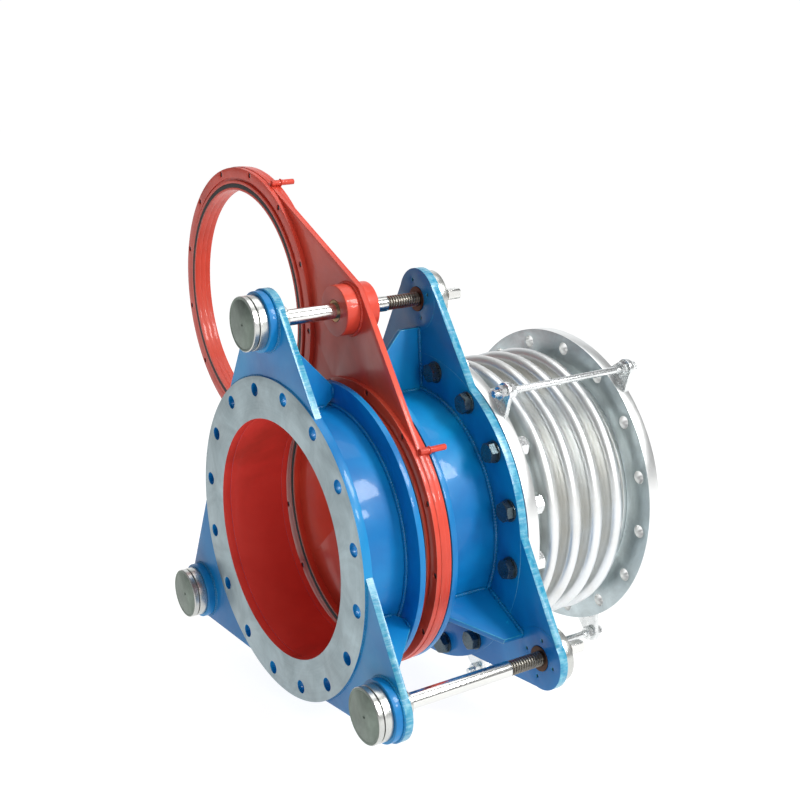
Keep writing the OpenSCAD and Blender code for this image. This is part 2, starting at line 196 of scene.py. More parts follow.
def paint(name, deep, mid, pale, gloss=0.32, chips=None):
    """Sprayed enamel: cloudy tone, dust specks, orange peel and a few rubbed patches."""
    m = Mat(name, mid, gloss, 0.0, coat_weight=0.22, coat_roughness=0.08, specular_ior_level=0.3)
    cloud = m.noise(5.5, 4, 0.55, warp=0.6)
    tone = m.ramp(cloud, (0.3, deep), (0.52, mid), (0.75, pale))
    speck = m.ramp(m.noise(420, 2), (0.66, 0.0), (0.8, 1.0))
    tone = m.mix(m.math("MULTIPLY", speck, 0.35), tone, pale)
    if chips:
        rub = m.ramp(m.noise(38, 6, 0.65, warp=0.4), (0.7, 0.0), (0.74, 1.0))
        tone = m.mix(m.math("MULTIPLY", rub, 0.75), tone, chips)
    m.set("Base Color", tone)
    m.set("Roughness", m.math("ADD", m.math("MULTIPLY", m.noise(24, 4, 0.6), 0.3), gloss - 0.05))
    m.bump(m.noise(230, 2, 0.4), 0.10, 0.0006)
    m.bump(m.noise(46, 3, 0.5), 0.12, 0.0012)
    return m.m


def edge_paint(name, mid, pale, metal, flame=False):
    """Paint on a cut or rounded edge, thinner and scuffed pale in places; the pale tones are partly worn
    paint and partly a painted highlight along the edge.
    """
    m = Mat(name, mid, 0.35, 0.0, coat_weight=0.4, coat_roughness=0.2)
    # the pale patches stand partly for worn paint and partly for a painted highlight on the edge
    wear_and_highlight = m.ramp(m.noise(60, 5, 0.7, warp=0.5), (0.42, 0.0), (0.62, 1.0))
    chip = m.ramp(m.noise(140, 4, 0.7), (0.68, 0.0), (0.72, 1.0))
    tone = m.mix(m.math("MULTIPLY", wear_and_highlight, 0.7), mid, pale)
    tone = m.mix(m.math("MULTIPLY", chip, 0.8), tone, metal)
    if flame:
        cut = m.noise(230, 4, 0.6, stretch=(1, 0.12, 1), warp=0.3)
        tone = m.mix(m.ramp(cut, (0.5, 0.0), (0.7, 0.45)), tone, metal)
        m.bump(cut, 0.45, 0.001)
    m.set("Base Color", tone)
    m.bump(m.noise(300, 3, 0.6), 0.25, 0.0006)
    return m.m


def turned(name, tint, rough, pitch, smudge, dark, depth=0.25):
    """Face or rim cut on a lathe: uneven rings and a soft bloom of dirt."""
    m = Mat(name, tint, rough, 1.0)
    r = m.radius()
    ring = m.rings(r, pitch)
    wide = m.rings(r, pitch * 9)
    dirt = m.ramp(m.noise(14, 6, 0.62, warp=0.8), (0.38, 1.0), (0.68, 0.0))
    low = tuple(c * dark for c in tint)
    tone = m.mix(m.math("MULTIPLY", dirt, smudge), tint, low)
    tone = m.mix(m.math("MULTIPLY", m.math("SUBTRACT", wide, 0.35), 0.5), tone, low)
    m.set("Base Color", tone)
    m.set("Roughness", m.math("ADD", m.math("MULTIPLY", ring, 0.22), rough - 0.1))
    m.bump(ring, depth, 0.0005)
    return m.m


def drawn(name, tint, rough, stretch, smudge=0.4, fine=0.2, dark=0.55):
    """Rolled or ground metal with streaks along one direction."""
    m = Mat(name, tint, rough, 1.0)
    streak = m.noise(60, 5, 0.65, stretch=stretch)
    patch = m.ramp(m.noise(9, 5, 0.6, warp=0.7), (0.4, 0.0), (0.72, 1.0))
    low = tuple(c * dark for c in tint)
    tone = m.mix(m.math("MULTIPLY", patch, smudge), tint, low)
    m.set("Base Color", m.mix(m.math("MULTIPLY", streak, 0.35), tone, low))
    m.set("Roughness", m.math("ADD", m.math("MULTIPLY", streak, 0.3), rough - 0.12))
    m.bump(streak, fine, 0.0004)
    return m.m


def mottled(name, tint, rough, scale, spots, share, metal=1.0):
    """Plated, oxidised or cast surface, or rubber, with a mottled bloom."""
    m = Mat(name, tint, rough, metal)
    bloom = m.ramp(m.noise(scale * 0.2, 5, 0.65, warp=0.3), (0.4, 0.0), (0.7, 1.0))
    m.set("Base Color", m.mix(m.math("MULTIPLY", bloom, share), tint, spots))
    m.set("Roughness", m.math("ADD", m.math("MULTIPLY", m.noise(scale, 3), 0.3), rough - 0.12))
    m.bump(m.noise(scale * 2, 3, 0.6), 0.2, 0.0004)
    return m.m


def rolled_stainless(name):
    """Bellows wall: satin crests, valleys painted darker and warmer as painted shade in the creases, streaks
    round the pipe.
    """
    m = Mat(name, (0.82, 0.83, 0.83), 0.3, 1.0)
    above_neck = m.math("SUBTRACT", m.radius(), NECK_R)
    # painted shade: this mask darkens the wall from the crests down into the valleys, where shade falls
    depth = m.ramp(m.math("MULTIPLY", above_neck, 30.0), (0.05, 1.0), (0.62, 0.0))
    streak = m.noise(40, 5, 0.6, stretch=(2.5, 60, 2.5))
    patch = m.ramp(m.noise(7, 5, 0.62, warp=0.8), (0.42, 0.0), (0.7, 1.0))
    # painted shade: the dark valley colour stands for shade between the convolutions
    tone = m.mix(m.math("MULTIPLY", depth, 0.55), (0.86, 0.885, 0.895), (0.46, 0.47, 0.45))
    tone = m.mix(m.math("MULTIPLY", streak, 0.25), tone, (0.55, 0.59, 0.62))
    tone = m.mix(m.math("MULTIPLY", patch, 0.4), tone, (0.62, 0.58, 0.5))
    m.set("Base Color", tone)
    m.set("Roughness", m.math("ADD", m.math("MULTIPLY", streak, 0.25), 0.27))
    m.bump(streak, 0.18, 0.0005)
    m.bump(m.noise(18, 3), 0.12, 0.002)
    return m.m


BLUE = paint("blue_paint", (0.0, 0.125, 0.38), (0.0, 0.2, 0.5), (0.0, 0.29, 0.6), chips=(0.01, 0.38, 0.66))
# pale edge tones: partly worn paint, partly a painted highlight on the cut and rounded edges
BLUE_EDGE = edge_paint("blue_edge", (0.0, 0.22, 0.42), (0.06, 0.42, 0.6), (0.45, 0.62, 0.66))
BLUE_CUT = edge_paint("blue_cut", (0.0, 0.24, 0.42), (0.16, 0.5, 0.62), (0.45, 0.66, 0.72), flame=True)
WELD = paint("blue_weld", (0.0, 0.12, 0.3), (0.0, 0.17, 0.4), (0.01, 0.28, 0.52), 0.22)
RED = paint("red_paint", (0.5, 0.04, 0.02), (0.66, 0.062, 0.034), (0.75, 0.1, 0.05),
            chips=(0.74, 0.15, 0.09))
# pale pink edge tones: partly worn paint, partly a painted highlight on the plate and ring edges
RED_EDGE = edge_paint("red_edge", (0.62, 0.1, 0.065), (0.8, 0.3, 0.23), (0.82, 0.5, 0.42))
BORE = paint("bore_paint", (0.5, 0.045, 0.03), (0.72, 0.055, 0.042), (0.8, 0.075, 0.055), 0.45)
FACE = turned("flange_face", (0.4, 0.49, 0.52), 0.42, 0.0011, 0.6, 0.5)
CAP = turned("cap_face", (0.23, 0.28, 0.24), 0.4, 0.0007, 0.7, 0.4)
CAP_RIM = drawn("cap_rim", (0.7, 0.71, 0.68), 0.26, (3, 60, 3), 0.5, 0.15)
SHANK = drawn("ground_shank", (0.86, 0.86, 0.83), 0.16, (8, 50, 8), 0.25, 0.08, 0.65)
THREAD = mottled("thread_steel", (0.27, 0.26, 0.23), 0.36, 300, (0.12, 0.1, 0.08), 0.7)
BRONZE = mottled("bronze", (0.36, 0.21, 0.1), 0.38, 200, (0.16, 0.09, 0.05), 0.6)
NUT = mottled("nut_bronze", (0.1, 0.055, 0.035), 0.42, 180, (0.035, 0.022, 0.02), 0.7)
BLACK = mottled("black_oxide", (0.1, 0.135, 0.15), 0.27, 220, (0.03, 0.045, 0.055), 0.6, 0.9)
ZINC = mottled("zinc_plate", (0.84, 0.86, 0.86), 0.24, 260, (0.5, 0.52, 0.52), 0.5)
SEAL = mottled("seal_rubber", (0.015, 0.013, 0.013), 0.6, 240, (0.035, 0.03, 0.03), 0.6, 0.0)
GASKET = mottled("gasket_sheet", (0.04, 0.04, 0.045), 0.75, 320, (0.09, 0.09, 0.085), 0.6, 0.0)
PLATE = turned("plate_face", (0.68, 0.77, 0.79), 0.4, 0.0014, 0.55, 0.5, 0.2)
# also put on the bolt-hole walls as painted light seen through the holes
PLATE_RIM = drawn("plate_rim", (0.93, 0.94, 0.93), 0.3, (2, 40, 2), 0.25, 0.12, 0.75)
LINER = drawn("bore_steel", (0.5, 0.5, 0.48), 0.4, (2, 40, 2), 0.5, 0.2)
BELLOWS = rolled_stainless("bellows_steel")


# ---------------------------------------------------------------- mesh helpers
def add(name, mesh, body, mats, smooth=35, at=None, nodes=(), bend=None):
    """Links a mesh as a piece that rides on a body and stands for the listed CAD nodes. smooth is the angle
    in degrees below which faces blend. With bend given, the piece is not attached to the body and keeps its
    placement baked in; the far body, start and end in bend are not used."""
    for m in mats:
        if m.name not in [x.name for x in mesh.materials]:
            mesh.materials.append(m)
    o = bpy.data.objects.new(name, mesh)
    bpy.context.scene.collection.objects.link(o)
    if at is not None:
        o.location = at
    mesh.polygons.foreach_set("use_smooth", [True] * len(mesh.polygons))
    mesh.set_sharp_from_angle(angle=math.radians(smooth))
    if bend:
        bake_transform(o)
    else:
        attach(o, body)
    if nodes:
        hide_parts(*nodes)
    return o


def soften(profile, radius=0.0008, steps=3):
    """Rounds every sharp corner of a closed (r, y) outline."""
    pts, n = [], len(profile)
    for i in range(n):
        a, p, b = (np.array(profile[(i + d) % n], float) for d in (-1, 0, 1))
        u, v = a - p, b - p
        lu, lv = np.linalg.norm(u), np.linalg.norm(v)
        turn = abs((u[0] * v[1] - u[1] * v[0]) / max(lu * lv, 1e-12))
        if turn < 0.25:
            pts.append(tuple(p))
            continue
        d = min(radius, lu * 0.4, lv * 0.4)
        s, e = p + u / lu * d, p + v / lv * d
        for k in range(steps + 1):
            t = k / steps
            pts.append(tuple((1 - t) ** 2 * s + 2 * t * (1 - t) * p + t * t * e))
    return pts


def box_profile(r0, r1, y0, y1, soft=0.0008):
    return soften([(r0, y0), (r1, y0), (r1, y1), (r0, y1)], soft)


def lathe_mesh(name, profile, n=192, pick=None):
    """Turns a closed (r, y) outline about the Y axis. pick(r, y, nr, ny) gives each face its material
    index, from its middle and its normal."""
    p = np.array(profile, float)
    k = len(p)
    a = np.arange(n) * TAU / n
    verts = np.stack(
        [np.outer(np.cos(a), p[:, 0]), np.broadcast_to(p[:, 1], (n, k)), np.outer(np.sin(a), p[:, 0])], -1
    ).reshape(-1, 3)
    faces, idx = [], []
    area = sum(p[i][0] * p[(i + 1) % k][1] - p[(i + 1) % k][0] * p[i][1] for i in range(k))
    for j in range(k):
        q = (j + 1) % k
        mid, d = (p[j] + p[q]) / 2, p[q] - p[j]
        nr, ny = (d[1], -d[0]) if area > 0 else (-d[1], d[0])
        ln = math.hypot(nr, ny) or 1.0
        which = pick(mid[0], mid[1], nr / ln, ny / ln) if pick else 0
        for i in range(n):
            i2 = (i + 1) % n
            f = (i * k + j, i * k + q, i2 * k + q, i2 * k + j)
            faces.append(f if area < 0 else f[::-1])
            idx.append(which)
    me = bpy.data.meshes.new(name)
    me.from_pydata(verts.tolist(), [], faces)
    me.polygons.foreach_set("material_index", idx)
    return me


def turned_ring(name, r0, r1, y0, y1, soft=0.0008, n=192):
    return lathe_mesh(name, box_profile(r0, r1, y0, y1, soft), n)


def cad_copy(node, bevel=0.0008, pick=None):
    """A CAD node's mesh, cleaned and with its sharp edges rounded. pick(centre, normal) gives a face its
    material, and "edge" gives the rounded edges the second one."""
    bm = bmesh.new()
    bm.from_mesh(NODES[node].data)
    bmesh.ops.remove_doubles(bm, verts=bm.verts, dist=1e-6)
    bmesh.ops.dissolve_limit(bm, angle_limit=math.radians(0.6), verts=bm.verts, edges=bm.edges)
    sharp = math.radians(34)
    edges = [e for e in bm.edges if len(e.link_faces) == 2 and e.calc_face_angle(0) > sharp]
    bmesh.ops.bevel(
        bm, geom=edges, offset=bevel, offset_type="OFFSET", segments=2, profile=0.6,
        affect="EDGES", clamp_overlap=True, material=1 if pick == "edge" else -1,
    )
    bmesh.ops.triangulate(bm, faces=[f for f in bm.faces if len(f.verts) > 4])
    for f in bm.faces:
        if pick == "edge":
            f.material_index = int(f.material_index == 1)
        else:
            f.material_index = pick(f.calc_center_median(), f.normal) if pick else 0
    me = bpy.data.meshes.new(node + "_look")
    bm.to_mesh(me)
    bm.free()
    return me


def bead(points, radius, closed=False, seg=8, ripple=0.0, pitch=0.004, seed=0.0):
    """Weld metal along a path: a lumpy tube whose radius swells at every pass of the rod."""
    pts = [Vector(p) for p in points]
    n = len(pts)
    verts, faces = [], []
    s = 0.0
    for i, p in enumerate(pts):
        a = pts[(i - 1) % n] if closed or i else p
        b = pts[(i + 1) % n] if closed or i < n - 1 else p
        t = (b - a).normalized()
        ref = Vector((0, 1, 0)) if abs(t.y) < 0.9 else Vector((1, 0, 0))
        u = t.cross(ref).normalized()
        v = t.cross(u).normalized()
        if i:
            s += (p - pts[i - 1]).length
        lump = noise.noise(Vector((s * 60 + seed, seed, 0.3)))
        rr = radius * (1 + ripple * math.sin(TAU * s / pitch) + 1.05 * ripple * lump)
        taper = 1.0
        if not closed:
            taper = min(1.0, 0.35 + i / 4, 0.35 + (n - 1 - i) / 4)
        for k in range(seg):
            c = TAU * k / seg
            verts.append(p + (u * math.cos(c) + v * math.sin(c)) * rr * taper)
    for i in range(n if closed else n - 1):
        j = (i + 1) % n
        for k in range(seg):
            q = (k + 1) % seg
            faces.append((i * seg + k, i * seg + q, j * seg + q, j * seg + k))
    if not closed:
        faces.append(tuple(range(seg))[::-1])
        faces.append(tuple((n - 1) * seg + k for k in range(seg)))
    return verts, faces


def merged_mesh(name, parts):
    """One mesh of several (vertices, faces) parts, with its normals turned outwards."""
    verts, faces = [], []
    for v, f in parts:
        o = len(verts)
        verts += [tuple(x) for x in v]
        faces += [tuple(i + o for i in q) for q in f]
    me = bpy.data.meshes.new(name)
    me.from_pydata(verts, [], faces)
    bm = bmesh.new()
    bm.from_mesh(me)
    bmesh.ops.recalc_face_normals(bm, faces=bm.faces)
    bm.to_mesh(me)
    bm.free()
    return me


def circle_path(r, y, a0=0.0, a1=360.0, centre=Vector((0, 0, 0)), step=0.0013):
    n = max(8, int(abs(math.radians(a1 - a0)) * r / step))
    full = abs(a1 - a0) >= 359.9
    return [centre + polar(r, a0 + (a1 - a0) * i / n, y) for i in range(n if full else n + 1)]


def line_path(a, b, step=0.0013):
    n = max(4, int((b - a).length / step))
    return [a.lerp(b, i / n) for i in range(n + 1)]


def thread(major, minor, pitch, y0, y1, n=48, per=10, chamfer=0.0):
    """A screw thread as a height field over angle and length, with flat crests and roots."""
    rows = max(4, int((y1 - y0) / pitch * per))
    ys = np.linspace(y0, y1, rows + 1)
    th = np.arange(n) * TAU / n
    frac = ((ys[:, None] - y0) / pitch - th[None, :] / TAU) % 1.0
    tri = np.abs(frac - 0.5) * 2
    h = np.clip((tri - 0.27) / 0.42, 0, 1)
    rr = minor + (major - minor) * h
    if chamfer:
        lim = major - np.clip(chamfer - (y1 - ys), 0, None)
        rr = np.minimum(rr, lim[:, None])
    verts = np.stack([rr * np.cos(th), np.broadcast_to(ys[:, None], rr.shape), rr * np.sin(th)], -1)
    faces = []
    for i in range(rows):
        for k in range(n):
            q = (k + 1) % n
            faces.append((i * n + k, (i + 1) * n + k, (i + 1) * n + q, i * n + q))
    faces.append(tuple(range(n)))
    faces.append(tuple(rows * n + k for k in range(n))[::-1])
    return verts.reshape(-1, 3).tolist(), faces


def hexagon(y0, y1, across, bore=0.0, n=72, hole_cham=0.0, both_ends=True):
    """A hexagon head or nut along Y. The usual 30 degree cone cuts its corners, at y0 or at both ends."""
    half = across / 2
    verts, faces = [], []
    th = [TAU * i / n for i in range(n)]
    rim = [half / math.cos((t + math.pi / 6) % (math.pi / 3) - math.pi / 6) for t in th]
    flat_r = half * 0.97
    slope = math.tan(math.radians(30))
    inner = bore or CENTRE_PIN

    def ring(rs, yf):
        base = len(verts)
        for t, r in zip(th, rs):
            verts.append((r * math.cos(t), yf(r), r * math.sin(t)))
        return base

    loops = [
        ring([inner + hole_cham] * n, lambda r: y0),
        ring([flat_r] * n, lambda r: y0),
        ring(rim, lambda r: y0 + max(0, r - flat_r) * slope),
        ring(rim, lambda r: y1 - (max(0, r - flat_r) * slope if both_ends else 0)),
        ring([flat_r] * n, lambda r: y1),
        ring([inner + hole_cham] * n, lambda r: y1),
    ]
    if bore:
        loops.append(ring([inner] * n, lambda r: y1 - hole_cham))
        loops.append(ring([inner] * n, lambda r: y0 + hole_cham))
    for a, b in zip(loops, loops[1:] + ([loops[0]] if bore else [])):
        for i in range(n):
            j = (i + 1) % n
            faces.append((a + i, b + i, b + j, a + j))
    if not bore:
        faces.append(tuple(loops[0] + i for i in range(n))[::-1])
        faces.append(tuple(loops[-1] + i for i in range(n)))
    return verts, faces


def square_bar(half, y0, y1, corner, n=64):
    """A squared shaft end with rounded corners and a chamfered tip."""
    verts, faces = [], []
    rows = [(y0, 1.0), (y1 - 0.0018, 1.0), (y1, 0.86)]
    for y, k in rows:
        for t in (TAU * i / n for i in range(n)):
            c = (t + math.pi / 4) % (math.pi / 2) - math.pi / 4
            r = min(half / math.cos(c), corner * k)
            verts.append((r * math.cos(t), y, r * math.sin(t)))
    for j in range(len(rows) - 1):
        for i in range(n):
            q = (i + 1) % n
            faces.append((j * n + i, (j + 1) * n + i, (j + 1) * n + q, j * n + q))
    faces.append(tuple(range(n)))
    faces.append(tuple((len(rows) - 1) * n + i for i in range(n))[::-1])
    return verts, faces


def lathe_part(profile, n=48):
    me = lathe_mesh("tmp", profile, n)
    v = [tuple(x.co) for x in me.vertices]
    f = [tuple(p.vertices) for p in me.polygons]
    bpy.data.meshes.remove(me)
    return v, f


def rod_part(r, y0, y1, soft=0.0003):
    return lathe_part(box_profile(CENTRE_PIN, r, y0, y1, soft), 32)


def placed(part, at, turn=0.0):
    """A part turned about its own Y axis by turn radians, then moved."""
    m = Matrix.Translation(at) @ Matrix.Rotation(turn, 4, "Y")
    return [tuple(m @ Vector(v)) for v in part[0]], part[1]


def at_axes(me, body, mats, name, node, smooth=35):
    """One mesh shared by the three screw axes. {} in body and node is the axis's name. A node without it
    holds all three copies, and the first piece stands for it."""
    done = set()
    for k, a in AXES.items():
        o = add(f"{name}_{k}", me, body.format(k), mats, smooth, at=polar(AXIS_R, a))
        own = node.format(k)
        if own not in done:
            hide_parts(own)
            done.add(own)


# ---------------------------------------------------------------- which face gets which material
def is_side(nrm, limit=0.7):
    return abs(nrm.y) < limit


def inlet_pick(c, nrm):
    """Painted plate, machined front face, red bore."""
    r = math.hypot(c.x, c.z)
    if r < BORE_R + 0.0006 and is_side(nrm):
        return 2
    return 1 if abs(c.y) < 0.0006 and abs(nrm.y) > 0.5 and r < RIM_R + 0.0002 else 0


def ear_pick(c, nrm):
    """Painted plate, flame-cut rim."""
    return 1 if is_side(nrm, 0.6) and math.hypot(c.x, c.z) > RIM_R else 0


def rear_pick(c, nrm):
    """Painted plate, flame-cut rim, red bore."""
    r = math.hypot(c.x, c.z)
    if r < BORE_R + 0.0006 and is_side(nrm):
        return 2
    return 1 if is_side(nrm, 0.6) and r > RIM_R - 0.0005 else 0


def plate_pick(c, nrm):
    """Turned faces, bright rim, hole walls given the bright rim finish as painted light seen through the
    holes, dull bore.
    """
    r = math.hypot(c.x, c.z)
    if r > RIM_R - 0.001 and is_side(nrm, 0.75):
        return 1
    if r < BORE_R + 0.0006 and is_side(nrm):
        return 2
    # painted light: the hole walls take the bright rim finish to stand for light seen through the holes
    return 1 if is_side(nrm) else 0


# ---------------------------------------------------------------- inlet body
def tube(side, y0, y1):
    profile = box_profile(BORE_R, TUBE_R, y0, y1)
    me = lathe_mesh(f"{side}_tube_look", profile, 256, lambda r, y, nr, ny: int(nr < -0.5))
    add(f"{side}_tube_look", me, f"{side}_body", [BLUE, BORE], nodes=[f"{side}_tube"])


def seal_flange(side, y0, y1, front):
    """Rim and back painted, sealing face turned bright with a shallow land. The face looks to +Y if front."""
    face_y = y1 if front else y0
    sunk_y = face_y - 0.0006 if front else face_y + 0.0006
    land = [(SEAL_R - 0.0035, face_y), (SEAL_R - 0.0038, sunk_y), (0.2235, sunk_y), (0.2232, face_y)]
    if front:
        prof = [(BORE_R, y0), (SEAL_R, y0), (SEAL_R, y1), *land, (BORE_R, y1)]
    else:
        prof = [(BORE_R, y0), *land[::-1], (SEAL_R, y0), (SEAL_R, y1), (BORE_R, y1)]

    def pick(r, y, nr, ny):
        if nr < -0.5:
            return 1
        return 2 if abs(y - face_y) < 0.0007 and abs(ny) > 0.6 and r < SEAL_R - 0.0035 else 0

    me = lathe_mesh(f"{side}_seal_look", soften(prof, 0.0009), 256, pick)
    add(f"{side}_seal_look", me, f"{side}_body", [BLUE, BORE, FACE], nodes=[f"{side}_seal_flange"])


def body_beads(side, flange_y, seal_y, way):
    """Fillets at both ends of the tube and along the gussets. way is +1 when the tube leaves the flange
    along +Y."""
    parts = [
        bead(circle_path(0.2072, flange_y + way * 0.0012), 0.0038, True, 8, 0.16, 0.0052, 1.0),
        bead(circle_path(0.2072, seal_y - way * 0.0012), 0.0034, True, 8, 0.16, 0.0048, 2.0),
    ]
    for a in AXES.values():
        out = polar(1, a)
        across = Vector((-out.z, 0, out.x))
        for s in (-1, 1):

            def seam(r0, y0, r1, y1, radius, pitch, seed):
                off = across * (s * 0.0062)
                ends = [out * r + off + Vector((0, y, 0)) for r, y in ((r0, y0), (r1, y1))]
                parts.append(bead(line_path(*ends), radius, False, 8, 0.18, pitch, seed + s + a))

            y = flange_y + way * 0.0015
            seam(0.21, y, 0.312, y, 0.0033, 0.0055, 3.0)
            seam(0.2075, flange_y + way * 0.006, 0.2075, seal_y - way * 0.016, 0.003, 0.005, 4.0)
            y = seal_y - way * 0.001
            seam(0.221, y, 0.239, y, 0.0028, 0.005, 5.0)
    add(f"{side}_beads", merged_mesh(f"{side}_beads", parts), f"{side}_body", [WELD], 60)


add("inlet_flange_look", cad_copy("inlet_flange", 0.001, inlet_pick), "inlet_body", [BLUE, FACE, BORE],
    nodes=["inlet_flange"])
add("inlet_ears_look", cad_copy("inlet_ears", 0.0012, ear_pick), "inlet_body", [BLUE, BLUE_CUT],
    nodes=["inlet_ears"])
tube("inlet", INLET_PLATE[1], INLET_SEAL[0])
seal_flange("inlet", *INLET_SEAL, True)
add("inlet_gussets_look", cad_copy("inlet_gussets", 0.0012, "edge"), "inlet_body", [BLUE, BLUE_EDGE],
    nodes=["inlet_gussets"])
at_axes(turned_ring("boss", 0.017, 0.049, -0.013, 0.002, 0.0012, 128), "inlet_body", [BLUE], "boss_look",
        "inlet_screw_bosses")
at_axes(turned_ring("bush", SCREW_R + 0.00005, 0.017, -0.013, BUSH_BACK, 0.0004, 64), "inlet_body",
        [BRONZE], "bush_look", "screw_bushes")
body_beads("inlet", INLET_PLATE[1], INLET_SEAL[0], 1)
body_beads("rear", REAR_PLATE[0], REAR_SEAL[1], -1)
parts = []
for a in AXES.values():
    parts.append(bead(circle_path(0.0495, 0.0016, centre=polar(AXIS_R, a)), 0.0022, True, 8, 0.2, 0.005, a))
    for s in (-1, 1):
        seam = circle_path(RIM_R + 0.0004, 0.0026, a - s * 4, a - s * 31)
        parts.append(bead(seam, 0.0014, False, 6, 0.3, 0.006, a + s))
add("boss_beads", merged_mesh("boss_beads", parts), "inlet_body", [WELD], 60)


# ---------------------------------------------------------------- clamping screws
def cap_mesh():
    """End cap with a lip round its turned face, a small centre hole and a neck behind."""
    face_y, lip_y, neck_y, back_y = -0.038, -0.0376, -0.0295, -0.0276
    prof = [
        (0.0004, -0.0366), (0.0016, -0.0366), (0.0032, face_y), (0.0385, face_y), (0.0392, lip_y),
        (0.0400, face_y), (0.0428, face_y), (0.0440, -0.0368), (0.0440, -0.0297), (0.0434, neck_y),
        (0.0372, neck_y), (0.0370, back_y), (0.0004, back_y),
    ]
    return lathe_mesh("end_cap", prof, 128, lambda r, y, nr, ny: 0 if ny < -0.5 and r < 0.0425 else 1)


def screw_mesh():
    """Ground shank, then a trapezoidal thread, which has material 1."""
    shank = soften([(CENTRE_PIN, -0.033), (SCREW_R, -0.033), (SCREW_R, SCREW_STEP - 0.001),
                    (0.0118, SCREW_STEP + 0.001), (CENTRE_PIN, SCREW_STEP + 0.001)], 0.0006)
    me = merged_mesh("screw", [
        lathe_part(shank, 64),
        thread(0.012, THREAD_ROOT, 0.005, SCREW_STEP, THREAD_END, 48, 12, chamfer=0.002),
    ])
    for p in me.polygons:
        c = p.center
        on_thread = c.y > SCREW_STEP + 0.0002 and math.hypot(c.x, c.z) > 0.005
        p.material_index = int(on_thread or c.y > THREAD_END - 0.005)
    return me


at_axes(cap_mesh(), "{}_screw_set", [CAP, CAP_RIM], "cap_look", "{}_end_cap", 30)
at_axes(turned_ring("thrust_disc", SCREW_R, 0.044, -0.0275, -0.0133, 0.001, 128), "{}_screw_set", [CAP_RIM],
        "disc_look", "{}_thrust_disc")
at_axes(screw_mesh(), "{}_screw_set", [SHANK, THREAD], "screw_look", "{}_screw")
at_axes(turned_ring("collar", SCREW_R, 0.0205, BUSH_BACK + 0.0003, 0.037, 0.0012, 96), "{}_screw_set",
        [CAP_RIM], "collar_look", "{}_thrust_collar")
drive = merged_mesh("drive", [square_bar(0.0085, 0.3485, 0.375, 0.0112)])
for k, a in AXES.items():
    o = add(f"drive_look_{k}", drive, f"{k}_screw_set", [SHANK], at=polar(AXIS_R, a))

# ---------------------------------------------------------------- goggle
add("sector_look", cad_copy("sector_plate", 0.0012, "edge"), "goggle", [RED, RED_EDGE],
    nodes=["sector_plate"])
add("hub_look", turned_ring("hub", 0.018, 0.042, *HUB, 0.0015, 128), "goggle", [RED], at=PIVOT,
    nodes=["plate_hub"])
add("hub_bush_look", turned_ring("hub_bush", SCREW_R + 0.00005, 0.01795, *HUB, 0.0005, 64), "pivot_bush",
    [BRONZE], at=PIVOT, nodes=["hub_bush"])
parts = [bead(circle_path(0.0432, y, centre=PIVOT), 0.0026, True, 8, 0.18, 0.005, seed)
         for y, seed in ((0.1553, 7.0), (0.1657, 8.0))]
add("hub_beads", merged_mesh("hub_beads", parts), "goggle", [RED], 60)
add("stop_pins_look", cad_copy("stop_pins", 0.0012), "goggle", [RED], nodes=["stop_pins"])
parts = []
for at, a in ((BLIND_AT, 39.5), (OPEN_AT, 62)):
    root = circle_path(0.0052, 0.1743, centre=at + polar(0.2502, a), step=0.0008)
    parts.append(bead(root, 0.0016, True, 6, 0.2, 0.004, a))
add("pin_beads", merged_mesh("pin_beads", parts), "goggle", [RED], 60)
for side, at in (("open", OPEN_AT), ("blind", BLIND_AT)):
    for face in ("front", "rear"):
        ring = f"{side}_{face}_ring"
        add(f"{side}_{face}_look", cad_copy(ring, 0.0007, "edge"), "goggle", [RED, RED_EDGE], nodes=[ring])
    for face, y0 in (("front", 0.1445), ("rear", 0.171)):
        seal = turned_ring(f"seal_{face[0]}", 0.209, 0.217, y0, y0 + 0.005, 0.0012)
        add(f"{side}_seal_{face[0]}_look", seal, "goggle", [SEAL], at=at, nodes=[f"{side}_{face}_seal"])
    screws = f"{side}_ring_screws"
    add(f"{side}_screws_look", cad_copy(screws, 0.0004), "goggle", [BLACK], nodes=[screws])

# ---------------------------------------------------------------- rear body
seal_flange("rear", *REAR_SEAL, False)
tube("rear", REAR_SEAL[1], REAR_PLATE[0])
add("rear_gussets_look", cad_copy("rear_gussets", 0.0012, "edge"), "rear_body", [BLUE, BLUE_EDGE],
    nodes=["rear_gussets"])
add("rear_ear_look", cad_copy("rear_ear_flange", 0.0012, rear_pick), "rear_body", [BLUE, BLUE_CUT, BORE],
    nodes=["rear_ear_flange"])
NUT_HOLE, NUT_R, NUT_COLLAR_R = 0.01205, 0.021, 0.027
nut_profile = soften([
    (NUT_HOLE, 0.2885), (NUT_R, 0.2885), (NUT_R, 0.305), (NUT_COLLAR_R, 0.305), (NUT_COLLAR_R, 0.31),
    (NUT_R, 0.31), (NUT_R, 0.323), (NUT_HOLE, 0.323),
], 0.0006)
at_axes(lathe_mesh("nut", nut_profile, 96), "rear_body", [NUT], "nut_look", "screw_nuts")
add("nut_flange_look", cad_copy("nut_flanges", 0.0008), "rear_body", [CAP_RIM], nodes=["nut_flanges"])
add("nut_screws_look", cad_copy("nut_flange_screws", 0.0005), "rear_body", [BLACK],
    nodes=["nut_flange_screws"])

